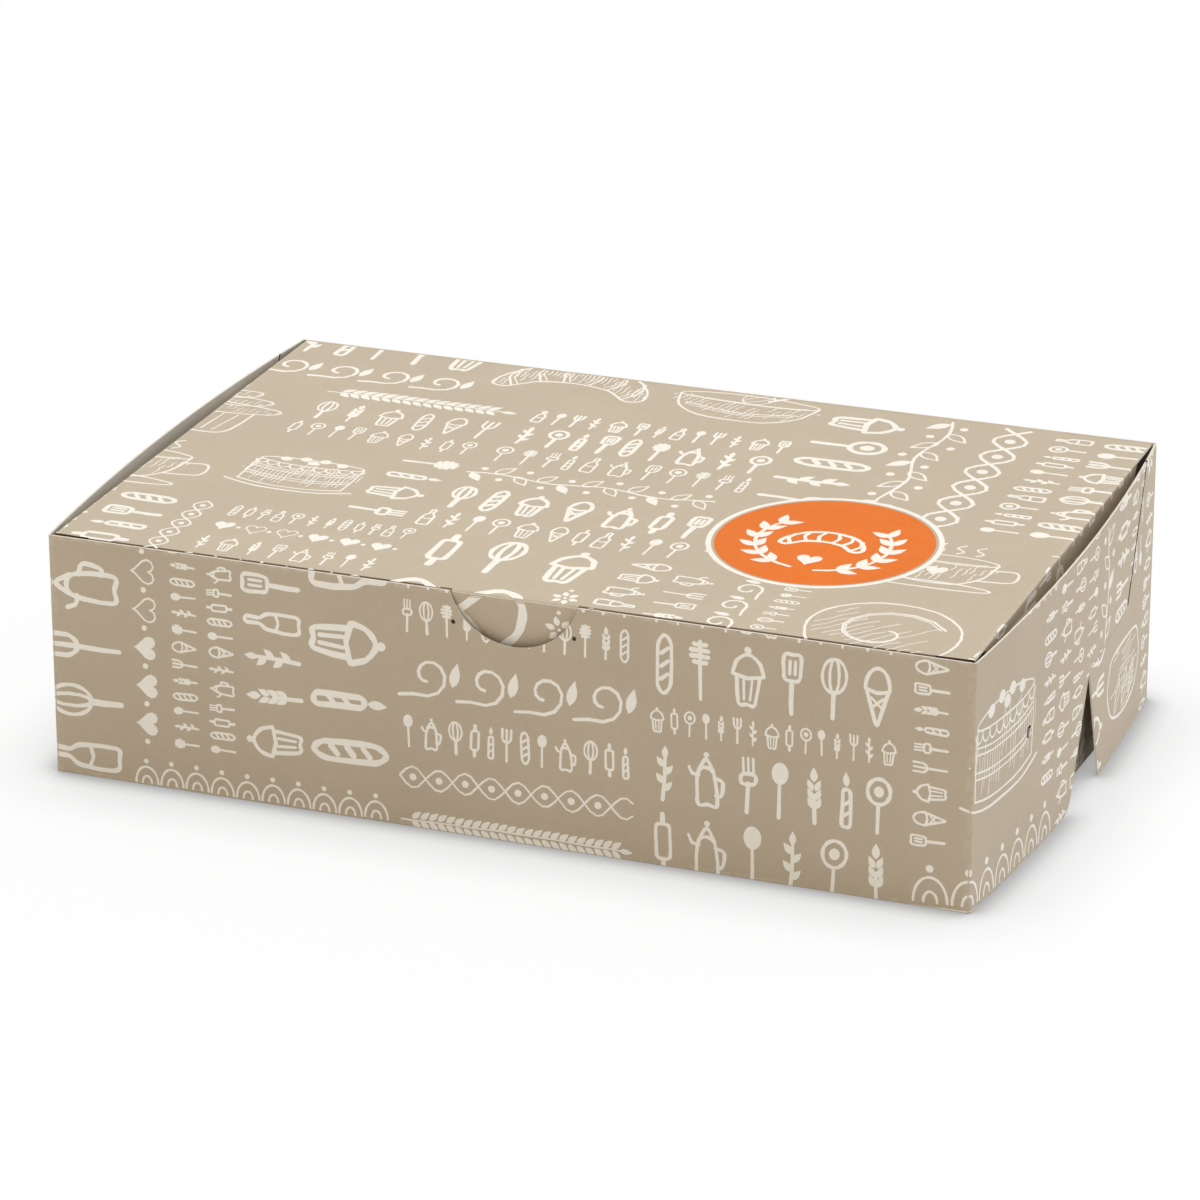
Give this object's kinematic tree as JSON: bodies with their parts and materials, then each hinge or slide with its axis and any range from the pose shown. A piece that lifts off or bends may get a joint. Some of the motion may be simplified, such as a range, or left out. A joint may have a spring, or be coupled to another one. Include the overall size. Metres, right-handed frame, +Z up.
{
  "type": "pastry box",
  "caption": "Folded cartonboard bakery box with hooked, bowed end walls, a thumb notch in the front wall and a hinged lid whose front and side flaps tuck inside.",
  "frame": {"origin": "middle of the box on the surface it stands on", "axes": "+X to the right of someone facing the front wall, +Y from the front wall to the back wall, +Z up"},
  "size_m": [0.258, 0.156, 0.073],
  "materials": {
    "printed_board": "matt"
  },
  "bodies": {
    "box": {"base_panel": "printed_board", "front_wall": "printed_board", "back_wall": "printed_board", "front_lock_flap_left": "printed_board", "front_lock_flap_right": "printed_board", "rear_lock_flap_left": "printed_board", "rear_lock_flap_right": "printed_board"},
    "lid": {"lid_panel": "printed_board"},
    "tuck": {"tuck_flap": "printed_board"},
    "side_flap_left": {"lid_side_flap_left": "printed_board"},
    "side_flap_right": {"lid_side_flap_right": "printed_board"},
    "inner_end_left": {"end_panel_left": "printed_board"},
    "inner_end_right": {"end_panel_right": "printed_board"}
  },
  "joints": [
    {"name": "lid_hinge", "type": "hinge", "parent": "box", "child": "lid", "pos_m": [0, 0.078, 0.073], "axis": [-1, 0, 0], "range_deg": [0, 180]},
    {"name": "tuck_crease", "type": "hinge", "parent": "lid", "child": "tuck", "pos_m": [0, -0.07667, 0.06487], "axis": [1, 0, 0], "range_deg": [0, 50]},
    {"name": "side_flap_crease_left", "type": "hinge", "parent": "lid", "child": "side_flap_left", "pos_m": [-0.12348, -0.00267, 0.06845], "axis": [0, -0.9988, -0.0483], "range_deg": [0, 80]},
    {"name": "side_flap_crease_right", "type": "hinge", "parent": "lid", "child": "side_flap_right", "pos_m": [0.12348, -0.00267, 0.06845], "axis": [0, 0.9988, 0.0483], "range_deg": [0, 80]},
    {"name": "end_panel_crease_left", "type": "hinge", "parent": "box", "child": "inner_end_left", "pos_m": [-0.1219, 0, 0.00065], "axis": [0, 1, 0], "range_deg": [0, 90]},
    {"name": "end_panel_crease_right", "type": "hinge", "parent": "box", "child": "inner_end_right", "pos_m": [0.1219, 0, 0.00065], "axis": [0, -1, 0], "range_deg": [0, 90]}
  ]
}
